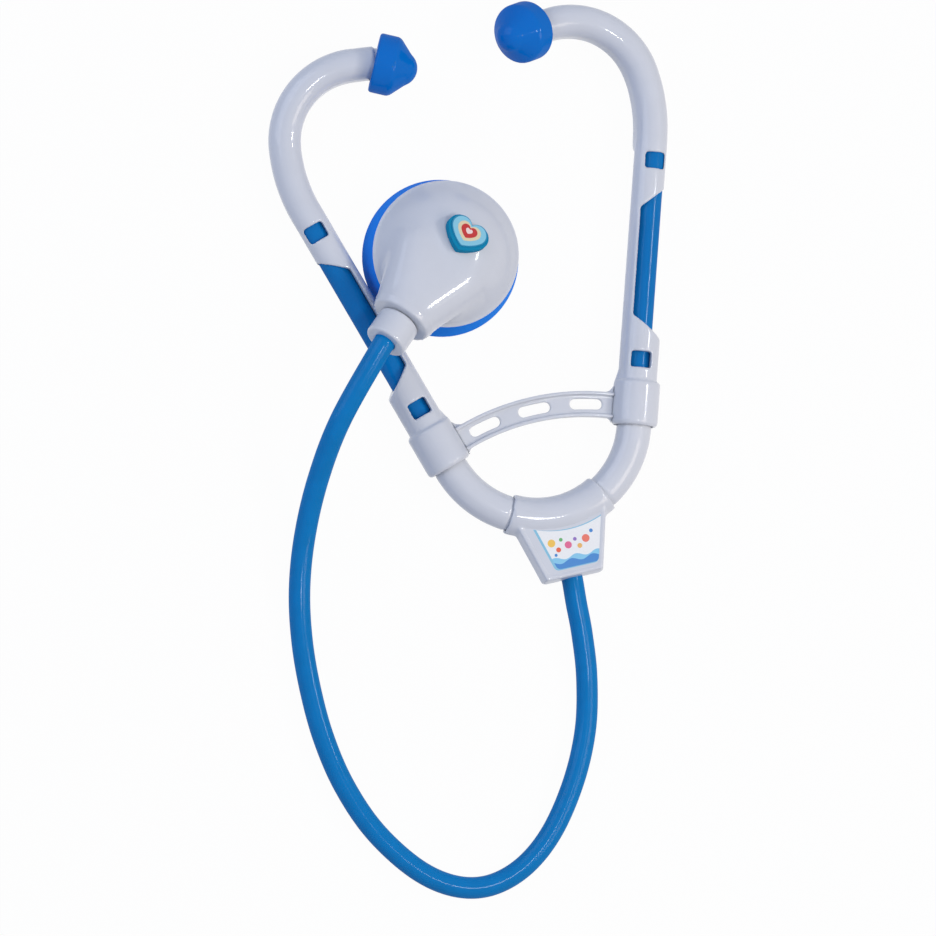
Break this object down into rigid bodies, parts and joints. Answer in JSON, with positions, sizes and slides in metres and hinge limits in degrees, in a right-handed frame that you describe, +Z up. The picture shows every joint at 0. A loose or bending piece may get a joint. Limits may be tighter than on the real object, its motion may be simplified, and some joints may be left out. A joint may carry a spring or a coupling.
{
  "type": "toy stethoscope",
  "caption": "Toy stethoscope: hooked ear arms on a sprung bow, T block with a label, a smooth hose in a loop and a domed chest piece that turns on its stem.",
  "frame": {"origin": "on the back of the T block, under the middle of its label panel, where the toy lies on a table", "axes": "+Y along the line of symmetry from the hose towards the ear tips, +X to the wearer's left, +Z up out of the label"},
  "size_m": [0.1581, 0.2762, 0.0324],
  "materials": {
    "white": "glossy white moulding",
    "blue": "glossy blue moulding",
    "hose": "smooth glossy blue vinyl",
    "screw": "zinc plated",
    "label": "printed sticker",
    "film": "frosted film",
    "badge": "glossy teal moulding",
    "heart": "printed sticker"
  },
  "bodies": {
    "yoke": {"yoke_front_shell": "white", "yoke_back_shell": "white", "shell_screws": "screw", "front_label": "label", "left_yoke_tube": "white", "right_yoke_tube": "white", "leaf_spring": "white", "hose": "hose", "stem_ferrule": "white"},
    "left_ear_arm": {"left_arm": "white", "left_arm_tube": "blue", "left_ear_tip": "blue", "left_hinge_pin": "white"},
    "right_ear_arm": {"right_arm": "white", "right_arm_tube": "blue", "right_ear_tip": "blue", "right_hinge_pin": "white"},
    "chest_piece": {"chest_dome": "white", "chest_ring": "blue", "diaphragm": "film", "heart_badge": "badge", "heart_sticker": "heart"}
  },
  "joints": [
    {"name": "left_spread", "type": "hinge", "parent": "yoke", "child": "left_ear_arm", "pos_m": [-0.03202, 0.03965, 0.0075], "axis": [0, 0, 1], "range_deg": [0, 5], "stiffness_Nm_per_rad": 1.5, "deforming": ["leaf_spring"]},
    {"name": "right_spread", "type": "hinge", "parent": "yoke", "child": "right_ear_arm", "pos_m": [0.03202, 0.03965, 0.0075], "axis": [0, 0, -1], "range_deg": [0, 5], "stiffness_Nm_per_rad": 1.5, "deforming": ["leaf_spring"]},
    {"name": "chest_swivel", "type": "hinge", "parent": "yoke", "child": "chest_piece", "pos_m": [-0.03831, 0.08299, 0.0235], "axis": [-0.7199, -0.637, 0.2756], "range_deg": [-5, 25]}
  ],
  "couplings": [
    {"joint": "right_spread", "follows": "left_spread", "ratio": 1}
  ]
}
